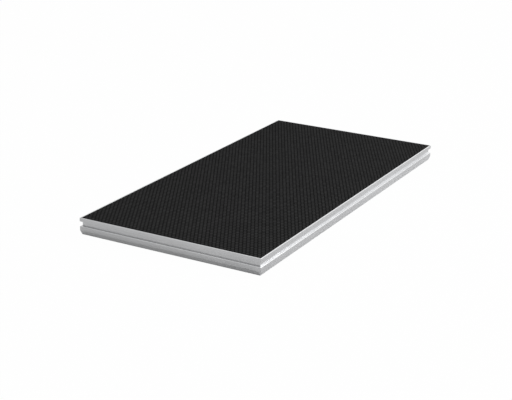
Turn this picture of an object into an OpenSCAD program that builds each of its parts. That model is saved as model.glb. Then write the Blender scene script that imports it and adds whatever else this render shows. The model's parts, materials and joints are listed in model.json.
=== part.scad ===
// Stage riser platform: a plywood deck in a frame of extruded aluminium rails,
// with a clamping leg socket in each corner. All sizes are in millimetres.
// Origin: middle of the underside. X runs along the length, Y across the width, Z up.

/* [Deck] */
// Overall length of the platform
deck_length = 2000; // [1200:10:3000]
// Overall width of the platform
deck_width = 1000; // [700:10:1500]
// Overall height of the platform
deck_height = 85; // [84:1:110]
// Thickness of the plywood panel
panel_t = 11.2; // [9:0.1:15]
// Thickness of the anti-slip film on the panel
film_t = 0.8; // [0.4:0.1:1.5]
// Width of the sealing joint round the panel
seal_w = 1.5; // [0.5:0.1:4]
// Depth of the sealing joint's top below the deck
seal_drop = 0.5; // [0.2:0.1:2]

/* [Rails] */
// Wall thickness of the extruded rail
rail_wall = 3; // [2:0.1:4]
// Distance from the rail's outer face to its inner face
rail_w = 38; // [34:1:50]
// Thickness of the lip beside the panel
lip_t = 5; // [3:0.1:7]
// Size of the edge break on top of the lip
lip_break = 0.8; // [0.3:0.1:1.5]
// Height of the lip above the accessory groove
lip_h = 18; // [16:0.5:24]
// Height of the accessory groove in the outer face
groove_h = 24; // [20:1:34]
// Depth of the accessory groove
groove_d = 10; // [6:0.5:14]
// Height of the flat band under the groove
band_h = 22; // [12:1:24]
// Size of the edge break between the groove's floor and the band
ledge_break = 2; // [0.5:0.25:3]
// Inward slope of the lower part of the outer face
slope_in = 7.5; // [3:0.5:10]
// Width of the foot flange on the inner side
foot_w = 12; // [6:1:20]

/* [T-slot] */
// Height of the centre of the inner T-slot above the ground
slot_z = 38; // [34:1:42]
// Opening of the T-slot
slot_open = 9; // [8.6:0.1:11]
// Height of the channel behind the opening
slot_h = 17; // [16.5:0.1:20]
// Depth of the channel behind the opening
slot_d = 7; // [6.5:0.1:9]

/* [Leg sockets] */
// Diameter of the bore that takes a leg tube
leg_bore = 49; // [42:0.5:52]
// Distance from the leg's centre to both outer faces of the corner
leg_inset = 78; // [78:1:90]
// Wall thickness of the socket
socket_wall = 8; // [6:0.5:10]
// Length of the socket's arms along the rails
arm_len = 115; // [112:1:150]
// Thickness of the socket's arms
arm_t = 8; // [6:0.5:10]
// Height and length of the slope under the end of the arms
arm_slope = 24; // [10:1:26]
// Lead-in chamfer in the mouth of the leg bore
lead_in = 2; // [1:0.5:4]
// Thickness of the plate that closes the socket under the panel
cap_t = 6; // [4:0.5:8]
// Thickness of the socket's ribs
rib_t = 6; // [4:0.5:8]
// Diameter of the boss that carries the clamp screw
boss_d = 26; // [24:0.5:30]
// Reach of the boss from the leg's centre
boss_reach = 50; // [46:1:56]

/* [Clamp screws] */
// Height of the clamp screw above the ground
clamp_z = 38; // [36:0.5:40]
// Thread diameter of the clamp screw
clamp_d = 12; // [10:0.5:14]
// Thread pitch of the clamp screw
clamp_pitch = 1.75; // [1.25:0.25:2]
// Turns from the open to the closed stop
clamp_turns = 4; // [2:0.5:4]
// Radial play of the clamp screw in its thread
clamp_play = 0.05; // [0.02:0.01:0.1]
// Diameter of the thrust pad
pad_d = 17; // [15:0.5:18]
// Thickness of the thrust pad
pad_t = 5; // [4:0.5:6]
// Play round the thrust pad in its recess
pad_play = 0.5; // [0.3:0.1:0.9]
// Depth of the open thrust pad behind the wall of the leg bore
pad_back = 0.5; // [0.3:0.1:1]
// Diameter of the screw's tip in the thrust pad
tip_d = 8; // [6:0.5:8]
// Depth of the tip in the thrust pad
tip_in = 3; // [2:0.5:3]
// Play round the tip in the thrust pad
tip_play = 0.1; // [0.05:0.05:0.3]
// Diameter of the screw's head
head_d = 18; // [16:0.5:22]
// Length of the screw's head
head_l = 14; // [12:0.5:18]
// Gap left between the head and the boss at the closed stop
head_gap = 1; // [0.5:0.5:3]
// Diameter of the tommy bar
bar_d = 8; // [6:0.5:8]
// Distance between the balls of the tommy bar
bar_l = 54; // [40:1:58]
// Diameter of the balls on the tommy bar's ends
ball_d = 11; // [9:0.5:12]
// Play of the tommy bar in the head
bar_play = 0.02; // [0.01:0.01:0.05]

/* [Cross beams] */
// Width of the beam's box
beam_w = 30; // [24:1:40]
// Height of the beam's underside above the ground
beam_base = 26; // [18:1:28]
// Wall thickness of the beam's box
beam_wall = 2.5; // [2:0.1:4]
// Width of the flange under the panel
flange_w = 70; // [62:1:90]
// Thickness of the flange under the panel
flange_t = 4; // [3:0.5:5]
// Length of the bracket's legs
bracket_l = 42; // [38:1:60]
// Height of the bracket
bracket_h = 24; // [20:1:24]
// Thickness of the bracket
bracket_t = 5; // [4:0.5:6]

/* [Fasteners] */
// Diameter of the bolts in the frame
bolt_d = 8; // [6:0.5:8]
// Clearance round the bolts in their holes
bolt_play = 0.5; // [0.3:0.1:1]
// Play between a nut and its bolt
nut_play = 0.05; // [0.02:0.01:0.1]
// Width of the nuts and heads across the flats
nut_af = 13; // [12:0.5:14]
// Height of a nut
nut_h = 6.8; // [5:0.1:8]
// Diameter of the nut's flange
nut_flange = 17; // [15:0.5:17]
// Thickness of the nut's flange
nut_flange_t = 1.6; // [1:0.1:2]
// Length of bolt that stands out of its nut
bolt_end = 2; // [1:0.5:4]
// Height of a hexagon head
hex_h = 5.3; // [4:0.1:6]
// Length of the T-head along the rail
tee_l = 12; // [9:0.5:14]
// Thickness of the T-head
tee_t = 5.5; // [4:0.5:6]
// Play of the T-head in its channel
tee_play = 0.5; // [0.2:0.1:1]
// Spacing of the two bolts in each socket arm
arm_pitch = 26; // [24:1:30]
// Distance from the last bolt to the end of the arm
arm_edge = 15; // [12:1:20]
// Shank diameter of the deck screws
screw_d = 4; // [3:0.5:5]
// Head diameter of the deck screws
screw_head_d = 9; // [8:0.5:10]
// Head height of the deck screws
screw_head_h = 3; // [2:0.5:4]
// Depth of the deck screws in the plywood
screw_bite = 8; // [6:0.5:8]
// Play round the deck screws in metal
screw_play = 0.25; // [0.1:0.05:0.5]
// Play round the deck screws in the plywood
pilot_play = 0.03; // [0.01:0.01:0.05]
// Room left in front of the deck screws in the plywood
pilot_end = 0.3; // [0.2:0.1:0.8]
// Number of deck screws along each side of a cross beam
screws_per_side = 5; // [2:1:9]
// Distance from the first deck screw to the rail
screw_edge = 70; // [60:5:120]
// Distance from the socket's arm to its deck screw
cap_screw_in = 14; // [12:1:16]

/* [Hidden] */
$fn = 64;
cut = 1;
corner_names = ["front_left", "front_right", "rear_right", "rear_left"];
corner_signs = [[-1, -1], [1, -1], [1, 1], [-1, 1]];
beam_names = ["left", "centre", "right"];
beam_count = len(beam_names);

// heights of the rail's steps
ledge_z = deck_height - film_t - panel_t;
groove_top = min(deck_height - lip_h, ledge_z - rail_wall);
groove_floor = groove_top - groove_h;
slope_top = groove_floor - band_h;

// widths across the rail
slot_face = rail_w - rail_wall;
slot_back = slot_face - slot_d;
slot_roof = slot_z + slot_h / 2 + rail_wall;
slot_base = slot_z - slot_h / 2 - rail_wall;
rail_reach = rail_w + foot_w;

// the sloping wall of the rail's chamber runs one wall inside the outer face
slope_len = norm([slope_in, slope_top]);
slope_off = slope_in * slope_top / slope_len + rail_wall;
chamber_foot = (slope_off - rail_wall * slope_in / slope_len) * slope_len / slope_top;
chamber_side = (slope_off - rail_wall * slope_top / slope_len) * slope_len / slope_in;

// panel and beams
panel_l = deck_length - 2 * (lip_t + seal_w);
panel_w = deck_width - 2 * (lip_t + seal_w);
beam_h = ledge_z - beam_base;
beam_l = deck_width - 2 * rail_w;
beam_pitch = deck_length / (beam_count + 1);
beam_x = [for (i = [1 : beam_count]) i * beam_pitch - deck_length / 2];
flange_screw_y = beam_w / 2 + (flange_w - beam_w) / 4;
screw_pitch = (beam_l - 2 * screw_edge) / (screws_per_side - 1);
screw_x = [for (i = [0 : screws_per_side - 1]) screw_edge - beam_l / 2 + i * screw_pitch];

// leg socket
leg_r = leg_bore / 2;
socket_r = leg_r + socket_wall;
arm_face = rail_w + arm_t;
arm_end = rail_w + arm_len;
arm_bolts = [arm_end - arm_edge - arm_pitch, arm_end - arm_edge];
rib_pos = arm_end - arm_edge - arm_pitch / 2;
cap_screw = [arm_bolts[0] + screw_d / 2, arm_face + cap_screw_in];

// places along the clamp screw, measured from the leg's centre
pad_front = leg_r + pad_back;
pad_rear = pad_front + pad_t;
recess_end = pad_rear + cut;
clamp_travel = clamp_turns * clamp_pitch;
head_front = boss_reach + head_gap + clamp_travel;
head_rear = head_front + head_l;
bar_place = (head_front + head_rear) / 2;

// bolts and nuts
hole_r = bolt_d / 2 + bolt_play;
bracket_bolt = (bracket_l + bracket_t) / 2;

// Section of the rail: x runs inwards from the outer face, y is the height.
module rail_section() {
    difference() {
        polygon([
            [lip_break, deck_height], [lip_t, deck_height], [lip_t, ledge_z], [rail_w, ledge_z],
            [rail_w, slot_z + slot_open / 2], [slot_face, slot_z + slot_open / 2],
            [slot_face, slot_z + slot_h / 2], [slot_back, slot_z + slot_h / 2],
            [slot_back, slot_z - slot_h / 2], [slot_face, slot_z - slot_h / 2],
            [slot_face, slot_z - slot_open / 2], [rail_w, slot_z - slot_open / 2],
            [rail_w, rail_wall], [rail_reach, rail_wall], [rail_reach, 0],
            [slope_in, 0], [0, slope_top], [0, groove_floor - ledge_break],
            [ledge_break, groove_floor], [groove_d, groove_floor],
            [groove_d, groove_top], [0, groove_top], [0, deck_height - lip_break]
        ]);
        polygon([
            [groove_d + rail_wall, ledge_z - rail_wall], [slot_face, ledge_z - rail_wall],
            [slot_face, slot_roof], [slot_back - rail_wall, slot_roof],
            [slot_back - rail_wall, slot_base], [slot_face, slot_base],
            [slot_face, rail_wall], [chamber_foot, rail_wall], [rail_wall, chamber_side],
            [rail_wall, groove_floor - rail_wall], [groove_d + rail_wall, groove_floor - rail_wall]
        ]);
    }
}

// One rail along X with its outer face at y = 0, mitred at both ends.
module rail(length) {
    color([0.78, 0.79, 0.8]) intersection() {
        translate([-length / 2, 0, 0]) rotate([90, 0, 90]) linear_extrude(length) rail_section();
        linear_extrude(deck_height) polygon([
            [-length / 2, 0], [length / 2, 0],
            [length / 2 - rail_reach, rail_reach], [rail_reach - length / 2, rail_reach]
        ]);
    }
}

module front_rail() { translate([0, -deck_width / 2, 0]) rail(deck_length); }
module rear_rail() { rotate(180) front_rail(); }
module left_rail() { translate([-deck_length / 2, 0, 0]) rotate(-90) rail(deck_width); }
module right_rail() { rotate(180) left_rail(); }

// Moves its children to a corner, with both axes running inwards from the outer corner.
module at_corner(i) {
    translate([corner_signs[i][0] * deck_length / 2, corner_signs[i][1] * deck_width / 2, 0])
        rotate(90 * i) children();
}

// Repeats its children on both rails of a corner, as mirror images about the diagonal.
module both_arms() {
    children();
    mirror([1, -1, 0]) children();
}

// Turns the Z axis of its children into the clamp screw's axis, which starts in the leg's centre.
module along_clamp() {
    translate([leg_inset, leg_inset, clamp_z]) rotate([0, 90, 45]) children();
}

// The plate is screwed from below, so its top shows no screw heads.
module deck_panel() {
    color([0.45, 0.33, 0.22]) difference() {
        translate([-panel_l / 2, -panel_w / 2, ledge_z]) cube([panel_l, panel_w, panel_t]);
        at_deck_screws() translate([0, 0, -cut])
            cylinder(h = cut + screw_bite + pilot_end, r = screw_d / 2 + pilot_play);
    }
}

module antislip_film() {
    color([0.02, 0.02, 0.02]) translate([-panel_l / 2, -panel_w / 2, deck_height - film_t])
        cube([panel_l, panel_w, film_t]);
}

module edge_seal() {
    seal_h = deck_height - seal_drop - ledge_z;
    color([0.03, 0.03, 0.03]) translate([0, 0, ledge_z]) linear_extrude(seal_h) difference() {
        square([panel_l + 2 * seal_w, panel_w + 2 * seal_w], center = true);
        square([panel_l, panel_w], center = true);
    }
}

// Section of a beam: a closed box under a flange.
module beam_section() {
    box_h = beam_h - flange_t;
    difference() {
        union() {
            translate([-beam_w / 2, 0]) square([beam_w, box_h]);
            translate([-flange_w / 2, box_h]) square([flange_w, flange_t]);
        }
        translate([beam_wall - beam_w / 2, beam_wall])
            square([beam_w - 2 * beam_wall, box_h - beam_wall]);
    }
}

// Hollow beam across the deck, with a flange that the panel is screwed to.
module cross_beam(i) {
    color([0.7, 0.71, 0.72]) difference() {
        translate([beam_x[i], beam_l / 2, beam_base]) rotate([90, 0, 0])
            linear_extrude(beam_l) beam_section();
        for (side = [-1, 1], y = screw_x)
            translate([beam_x[i] + side * flange_screw_y, y, ledge_z - flange_t - cut])
                cylinder(h = flange_t + 2 * cut, r = screw_d / 2 + screw_play);
        at_beam_bolts(i) translate([0, 0, -beam_w / 2 - cut]) cylinder(h = beam_w + 2 * cut, r = hole_r);
    }
}

// Angle between a rail and the side of a beam: x runs along the rail, y along the beam.
module bracket() {
    difference() {
        translate([0, 0, slot_z - bracket_h / 2]) linear_extrude(bracket_h) polygon([
            [0, 0], [bracket_l, 0], [bracket_l, bracket_t],
            [bracket_t, bracket_t], [bracket_t, bracket_l], [0, bracket_l]
        ]);
        translate([bracket_bolt, -cut, slot_z]) rotate([-90, 0, 0])
            cylinder(h = bracket_t + 2 * cut, r = hole_r);
        translate([-cut, bracket_bolt, slot_z]) rotate([0, 90, 0])
            cylinder(h = bracket_t + 2 * cut, r = hole_r);
    }
}

// Places its children in each corner between the rails and beam i.
module at_brackets(i) {
    for (side = [0, 1], end = [0, 1])
        translate([beam_x[i], 0, 0]) mirror([side, 0, 0]) mirror([0, end, 0])
            translate([beam_w / 2, -beam_l / 2, 0]) children();
}

// Places its children on the bolts through beam i: Z runs along the bolt, from inside the beam.
module at_beam_bolts(i) {
    for (end = [-1, 1])
        translate([beam_x[i], end * (beam_l / 2 - bracket_bolt), slot_z]) rotate([0, 90, 0]) children();
}

module beam_brackets() {
    color([0.66, 0.67, 0.68]) for (i = [0 : beam_count - 1]) at_brackets(i) bracket();
}

// Bolt whose head slides in the T-slot: x runs along the rail, and the head bears on z = 0.
module t_bolt(clamped) {
    tee_h = slot_h - 2 * tee_play;
    translate([-tee_l / 2, -tee_h / 2, -tee_t]) cube([tee_l, tee_h, tee_t]);
    cylinder(h = rail_wall + clamped + nut_h + bolt_end, d = bolt_d);
}

// Flanged hexagon nut that stands on z = 0.
module flange_nut() {
    difference() {
        union() {
            cylinder(h = nut_flange_t, d = nut_flange);
            cylinder(h = nut_h, d = nut_af / cos(30), $fn = 6);
        }
        translate([0, 0, -cut]) cylinder(h = nut_h + 2 * cut, r = bolt_d / 2 + nut_play);
    }
}

module bracket_t_bolts() {
    color([0.6, 0.6, 0.62]) for (i = [0 : beam_count - 1]) at_brackets(i)
        translate([bracket_bolt, -rail_wall, slot_z]) rotate([-90, 0, 0]) t_bolt(bracket_t);
}

module bracket_nuts() {
    color([0.6, 0.6, 0.62]) for (i = [0 : beam_count - 1]) at_brackets(i)
        translate([bracket_bolt, bracket_t, slot_z]) rotate([-90, 0, 0]) flange_nut();
}

// Hexagon bolt through both brackets and the beam between them.
module beam_through_bolts() {
    grip = beam_w / 2 + bracket_t;
    color([0.6, 0.6, 0.62]) for (i = [0 : beam_count - 1]) at_beam_bolts(i) {
        translate([0, 0, -grip - hex_h]) cylinder(h = hex_h, d = nut_af / cos(30), $fn = 6);
        translate([0, 0, -grip]) cylinder(h = 2 * grip + nut_h + bolt_end, d = bolt_d);
    }
}

module beam_lock_nuts() {
    color([0.6, 0.6, 0.62]) for (i = [0 : beam_count - 1]) at_beam_bolts(i)
        translate([0, 0, beam_w / 2 + bracket_t]) flange_nut();
}

// Plate under the panel that ties the arms to the tube, seen from above.
module socket_plan() {
    polygon([
        [rail_w, rail_w], [arm_end, rail_w], [arm_end, arm_face], [leg_inset + socket_r, leg_inset],
        [leg_inset, leg_inset + socket_r], [arm_face, arm_end], [rail_w, arm_end]
    ]);
    translate([leg_inset, leg_inset]) circle(r = socket_r);
}

// Upright plate that is bolted to the rail; its lower end is sloped off.
module socket_arm() {
    translate([0, arm_face, 0]) rotate([90, 0, 0]) linear_extrude(arm_t) polygon([
        [rail_w, rail_wall], [arm_end - arm_slope, rail_wall], [arm_end, rail_wall + arm_slope],
        [arm_end, ledge_z], [rail_w, ledge_z]
    ]);
}

// Gusset between the arm's two bolts, under the plate.
module arm_rib() {
    translate([rib_pos - rib_t / 2, 0, 0]) rotate([90, 0, 90]) linear_extrude(rib_t) polygon([
        [arm_face - cut, ledge_z - cap_t], [arm_face + cap_screw_in, ledge_z - cap_t],
        [arm_face, slot_z], [arm_face - cut, slot_z]
    ]);
}

// Cast corner that joins two rails and clamps a leg tube pushed in from below.
module leg_socket(i) {
    body_h = ledge_z - rail_wall;
    color([0.62, 0.63, 0.64]) at_corner(i) difference() {
        union() {
            translate([0, 0, ledge_z - cap_t]) linear_extrude(cap_t) socket_plan();
            translate([leg_inset, leg_inset, rail_wall]) cylinder(h = body_h, r = socket_r);
            both_arms() {
                socket_arm();
                arm_rib();
            }
            socket_webs();
            along_clamp() cylinder(h = boss_reach, d = boss_d);
        }
        translate([leg_inset, leg_inset, 0]) cylinder(h = ledge_z - cap_t, r = leg_r);
        translate([leg_inset, leg_inset, rail_wall - cut])
            cylinder(h = lead_in + cut, r1 = leg_r + lead_in + cut, r2 = leg_r);
        along_clamp() cylinder(h = boss_reach + cut, r = clamp_d / 2 + clamp_play);
        along_clamp() cylinder(h = recess_end, r = pad_d / 2 + pad_play);
        both_arms() {
            for (a = arm_bolts)
                translate([a, rail_w - cut, slot_z]) rotate([-90, 0, 0])
                    cylinder(h = arm_t + 2 * cut, r = hole_r);
            translate([cap_screw[0], cap_screw[1], ledge_z - cap_t - cut])
                cylinder(h = cap_t + 2 * cut, r = screw_d / 2 + screw_play);
        }
    }
}

// Upright web on the diagonal: from the corner of the arms to the tube, and from the boss to the plate.
module socket_webs() {
    rib_base = (rail_w - leg_inset) * sqrt(2) + rib_t;
    translate([leg_inset, leg_inset, rail_wall]) rotate(45) translate([rib_base, -rib_t / 2, 0])
        cube([-rib_base, rib_t, ledge_z - rail_wall]);
    translate([leg_inset, leg_inset, clamp_z]) rotate(45) translate([0, -rib_t / 2, 0])
        cube([boss_reach, rib_t, ledge_z - clamp_z]);
}

module socket_t_bolts() {
    color([0.6, 0.6, 0.62]) for (i = [0 : 3]) at_corner(i) both_arms() for (a = arm_bolts)
        translate([a, slot_face, slot_z]) rotate([-90, 0, 0]) t_bolt(arm_t);
}

module socket_nuts() {
    color([0.6, 0.6, 0.62]) for (i = [0 : 3]) at_corner(i) both_arms() for (a = arm_bolts)
        translate([a, arm_face, slot_z]) rotate([-90, 0, 0]) flange_nut();
}

// Places its children where a deck screw enters the plywood.
module at_deck_screws() {
    translate([0, 0, ledge_z]) {
        at_beam_screws() children();
        at_cap_screws() children();
    }
}

module at_beam_screws() {
    for (x = beam_x, side = [-1, 1], y = screw_x)
        translate([x + side * flange_screw_y, y, 0]) children();
}

module at_cap_screws() {
    for (i = [0 : 3]) at_corner(i) both_arms() translate([cap_screw[0], cap_screw[1], 0]) children();
}

// Pan-head screw through metal of the given thickness; the plywood starts at z = 0.
module deck_screw(metal_t) {
    translate([0, 0, -metal_t - screw_head_h]) cylinder(h = screw_head_h, d = screw_head_d);
    translate([0, 0, -metal_t]) cylinder(h = metal_t + screw_bite, d = screw_d);
}

module deck_screws() {
    color([0.7, 0.7, 0.68]) translate([0, 0, ledge_z]) {
        at_beam_screws() deck_screw(flange_t);
        at_cap_screws() deck_screw(cap_t);
    }
}

// Pad that the screw presses on the leg; it sits in a recess of the bore and doesn't turn.
module thrust_pad(i) {
    edge = pad_t / 8;
    color([0.72, 0.58, 0.3]) at_corner(i) along_clamp() rotate_extrude() polygon([
        [0, pad_front], [pad_d / 2 - edge, pad_front], [pad_d / 2, pad_front + edge],
        [pad_d / 2, pad_rear], [tip_d / 2 + tip_play, pad_rear],
        [tip_d / 2 + tip_play, pad_rear - tip_in - tip_play], [0, pad_rear - tip_in - tip_play]
    ]);
}

// Screw with a tip for the pad, and a head that is cross-drilled for the tommy bar.
module clamp_screw(i) {
    edge = head_d / 18;
    color([0.55, 0.56, 0.58]) at_corner(i) along_clamp() difference() {
        rotate_extrude() polygon([
            [0, pad_rear - tip_in], [tip_d / 2, pad_rear - tip_in], [tip_d / 2, recess_end],
            [clamp_d / 2, recess_end], [clamp_d / 2, head_front], [head_d / 2 - edge, head_front],
            [head_d / 2, head_front + edge], [head_d / 2, head_rear - edge],
            [head_d / 2 - edge, head_rear], [0, head_rear]
        ]);
        translate([0, 0, bar_place]) rotate([90, 0, 0])
            cylinder(h = head_d + 2 * cut, r = bar_d / 2 + bar_play, center = true);
    }
}

// Bar to turn the screw by; the balls keep it in the head.
module tommy_bar(i) {
    color([0.55, 0.56, 0.58]) at_corner(i) along_clamp() translate([0, 0, bar_place]) rotate([90, 0, 0]) {
        cylinder(h = bar_l, d = bar_d, center = true);
        for (end = [-1, 1]) translate([0, 0, end * bar_l / 2]) sphere(d = ball_d);
    }
}

deck_panel();
antislip_film();
edge_seal();
front_rail();
rear_rail();
left_rail();
right_rail();
for (i = [0 : 2]) cross_beam(i);
beam_brackets();
bracket_t_bolts();
bracket_nuts();
beam_through_bolts();
beam_lock_nuts();
for (i = [0 : 3]) leg_socket(i);
socket_t_bolts();
socket_nuts();
deck_screws();
for (i = [0 : 3]) thrust_pad(i);
for (i = [0 : 3]) clamp_screw(i);
for (i = [0 : 3]) tommy_bar(i);
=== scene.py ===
import bmesh
import bpy
import json
import math
from mathutils import Matrix, Vector


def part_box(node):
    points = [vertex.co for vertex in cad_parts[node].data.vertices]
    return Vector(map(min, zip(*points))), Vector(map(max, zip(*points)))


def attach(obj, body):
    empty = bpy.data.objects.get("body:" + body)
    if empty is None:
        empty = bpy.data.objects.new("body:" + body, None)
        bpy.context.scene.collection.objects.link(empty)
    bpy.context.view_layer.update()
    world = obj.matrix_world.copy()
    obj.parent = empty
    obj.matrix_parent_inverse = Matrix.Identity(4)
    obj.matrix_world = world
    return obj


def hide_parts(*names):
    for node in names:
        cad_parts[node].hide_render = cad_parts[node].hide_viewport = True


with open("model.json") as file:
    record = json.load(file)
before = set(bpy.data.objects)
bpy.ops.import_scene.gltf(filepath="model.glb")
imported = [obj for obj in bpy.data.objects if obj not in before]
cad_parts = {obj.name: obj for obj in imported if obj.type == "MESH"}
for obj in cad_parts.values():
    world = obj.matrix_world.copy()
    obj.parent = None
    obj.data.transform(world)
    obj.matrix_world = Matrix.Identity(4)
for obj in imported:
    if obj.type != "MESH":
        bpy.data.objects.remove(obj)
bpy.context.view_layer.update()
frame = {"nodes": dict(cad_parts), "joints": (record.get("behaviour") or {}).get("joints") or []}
cadNodes = frame["nodes"]
scene = bpy.context.scene
print("frame loaded:", len(cadNodes), "nodes")

filmLow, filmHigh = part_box("antislip_film")
cornerNames = ("front_left", "front_right", "rear_right", "rear_left")
nodeGrid = dict(columns=6, across=220, down=320)
mixA, mixB, mixOut = 6, 7, 2  # sockets of a Mix node for colours


# a node with its inputs set or wired; the nodes stand in rows as they come
def put(tree, kind, values=None, **settings):
    row, column = divmod(len(tree.nodes), nodeGrid["columns"])
    node = tree.nodes.new(kind)
    node.location = (column * nodeGrid["across"], -row * nodeGrid["down"])
    for name, value in settings.items():
        setattr(node, name, value)
    for name, value in (values or {}).items():
        if isinstance(value, bpy.types.NodeSocket):
            tree.links.new(value, node.inputs[name])
        else:
            node.inputs[name].default_value = value
    return node


def putMix(tree, values, **settings):
    return put(tree, "ShaderNodeMix", values, data_type="RGBA", **settings).outputs[mixOut]


def putMath(tree, operation, *values):
    return put(tree, "ShaderNodeMath", dict(enumerate(values)), operation=operation).outputs[0]


def putRange(tree, value, values, **settings):
    return put(tree, "ShaderNodeMapRange", {"Value": value, **values}, **settings).outputs[0]


def putNoise(tree, spot, values):
    return put(tree, "ShaderNodeTexNoise", {"Vector": spot, **values}).outputs["Fac"]


def wire(tree, *pairs):
    for source, target in pairs:
        tree.links.new(source, target)


def newGroup(kind, name, inputs, outputs):
    tree = bpy.data.node_groups.new(name, kind)
    for title, socketType, value in inputs:
        socket = tree.interface.new_socket(title, in_out="INPUT", socket_type=socketType)
        if value is not None:
            socket.default_value = value
    for title, socketType in outputs:
        tree.interface.new_socket(title, in_out="OUTPUT", socket_type=socketType)
    return tree, put(tree, "NodeGroupInput").outputs, put(tree, "NodeGroupOutput").inputs


# shader groups shared by several finishes
def makeDrawnLines():
    # long fine lines that an extrusion die leaves; Stretch is small along the profile
    tree, given, result = newGroup("ShaderNodeTree", "drawnLines", [
        ("Vector", "NodeSocketVector", None), ("Stretch", "NodeSocketVector", (1.0, 300.0, 300.0)),
        ("Fineness", "NodeSocketFloat", 6.0)], [("Tone", "NodeSocketFloat"), ("Height", "NodeSocketFloat")])
    spot = put(tree, "ShaderNodeVectorMath", {0: given["Vector"], 1: given["Stretch"]},
               operation="MULTIPLY").outputs[0]
    broad = putNoise(tree, spot, {"Scale": 1.0, "Detail": 2.0, "Roughness": 0.6})
    fine = putNoise(tree, spot, {"Scale": given["Fineness"], "Detail": 3.0, "Roughness": 0.7})
    both = put(tree, "ShaderNodeMix", {"Factor": 0.55, "A": broad, "B": fine}, data_type="FLOAT")
    wire(tree, (both.outputs["Result"], result["Tone"]), (fine, result["Height"]))
    return tree


def makeScuffs():
    # thin scratches in two directions, only inside the patches of a slow noise
    tree, given, result = newGroup("ShaderNodeTree", "scuffs", [
        ("Vector", "NodeSocketVector", None), ("Scale", "NodeSocketFloat", 30.0),
        ("Amount", "NodeSocketFloat", 0.5)], [("Mask", "NodeSocketFloat")])
    masks = []
    for turn, stretch in ((0.5, (1.0, 14.0, 14.0)), (-0.9, (1.0, 18.0, 18.0))):
        turned = put(tree, "ShaderNodeMapping", {
            "Vector": given["Vector"], "Rotation": (0, 0, turn), "Scale": stretch}).outputs[0]
        noise = putNoise(tree, turned, {"Scale": given["Scale"], "Detail": 1.0, "Distortion": 0.3})
        masks.append(putRange(tree, noise, {"From Min": 0.66, "From Max": 0.72}))
    patch = putNoise(tree, given["Vector"], {"Scale": 4.0, "Detail": 3.0})
    patchEdge = putRange(tree, patch, {"From Min": 0.45, "From Max": 0.7})
    inPatch = putMath(tree, "MULTIPLY", putMath(tree, "MAXIMUM", *masks), patchEdge)
    wire(tree, (putMath(tree, "MULTIPLY", inPatch, given["Amount"]), result["Mask"]))
    return tree


def makeMottle():
    # cloudy tone between two colours
    tree, given, result = newGroup("ShaderNodeTree", "mottle", [
        ("Vector", "NodeSocketVector", None), ("Scale", "NodeSocketFloat", 12.0),
        ("Light", "NodeSocketColor", (0.6, 0.6, 0.6, 1)), ("Dark", "NodeSocketColor", (0.4, 0.4, 0.4, 1))],
        [("Color", "NodeSocketColor"), ("Fac", "NodeSocketFloat")])
    noise = putNoise(tree, given["Vector"], {"Scale": given["Scale"], "Detail": 5.0, "Roughness": 0.6})
    spread = putRange(tree, noise, {"From Min": 0.3, "From Max": 0.7})
    tone = putMix(tree, {"Factor": spread, mixA: given["Dark"], mixB: given["Light"]})
    wire(tree, (tone, result["Color"]), (spread, result["Fac"]))
    return tree


drawnLines = makeDrawnLines()
scuffs = makeScuffs()
mottle = makeMottle()
print("shader groups ready")


# a material with its Principled shader and Object coordinates
def newFinish(name, metallic, roughness, **sockets):
    finish = bpy.data.materials.new(name)
    finish.use_nodes = True
    tree = finish.node_tree
    shader = tree.nodes["Principled BSDF"].inputs
    shader["Metallic"].default_value = metallic
    shader["Roughness"].default_value = roughness
    for title, value in sockets.items():
        shader[title.replace("_", " ")].default_value = value
    return finish, tree, shader, put(tree, "ShaderNodeTexCoord").outputs["Object"]


def useGroup(tree, group, spot, values):
    return put(tree, "ShaderNodeGroup", {"Vector": spot, **values}, node_tree=group).outputs


def mottled(tree, spot, look):
    return useGroup(tree, mottle, spot, {
        "Scale": look["mottle"], "Light": look["light"], "Dark": look["dark"]})


# broken edges show their own colour over the finish
def rubbedEdges(tree, color, edge):
    rub = put(tree, "ShaderNodeAttribute", attribute_name="edgeRub").outputs["Fac"]
    return putMix(tree, {"Factor": rub, mixA: color, mixB: edge})


def finishSurface(tree, shader, look, color, rough, height):
    low, high = look["roughness"]
    strength, distance = look["bump"]
    bump = put(tree, "ShaderNodeBump", {"Height": height, "Strength": strength, "Distance": distance})
    wire(tree, (color, shader["Base Color"]), (bump.outputs[0], shader["Normal"]),
         (putRange(tree, rough, {"To Min": low, "To Max": high}), shader["Roughness"]))


# extruded aluminium: drawn lines along the profile, rubbed edges a little brighter
railLook = dict(light=(0.80, 0.805, 0.815, 1), dark=(0.74, 0.745, 0.755, 1), edge=(0.85, 0.855, 0.86, 1),
                mottle=5.0, lines=0.22, fineness=6.0, stretch=(1.2, 420.0, 420.0), scuffs=0.25,
                scuffScale=26.0, roughness=(0.22, 0.34), bump=(0.15, 0.0001))
shortRailLook = dict(railLook, stretch=(420.0, 1.2, 420.0))
beamLook = dict(railLook, light=(0.70, 0.705, 0.71, 1), dark=(0.62, 0.625, 0.63, 1),
                edge=(0.78, 0.78, 0.78, 1), lines=0.3, stretch=(350.0, 1.2, 350.0), scuffs=0.5,
                roughness=(0.36, 0.55))


def drawnAluminium(name, look):
    finish, tree, shader, spot = newFinish(name, metallic=1.0, roughness=0.4)
    lines = useGroup(tree, drawnLines, spot, {"Stretch": look["stretch"], "Fineness": look["fineness"]})
    marks = useGroup(tree, scuffs, spot, {"Scale": look["scuffScale"], "Amount": look["scuffs"]})
    lined = putMix(tree, {"Factor": look["lines"], mixA: mottled(tree, spot, look)["Color"],
                          mixB: lines["Tone"]}, blend_type="OVERLAY")
    rough = putMath(tree, "ADD", lines["Tone"], marks["Mask"])
    finishSurface(tree, shader, look, rubbedEdges(tree, lined, look["edge"]), rough, lines["Height"])
    return finish


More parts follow.
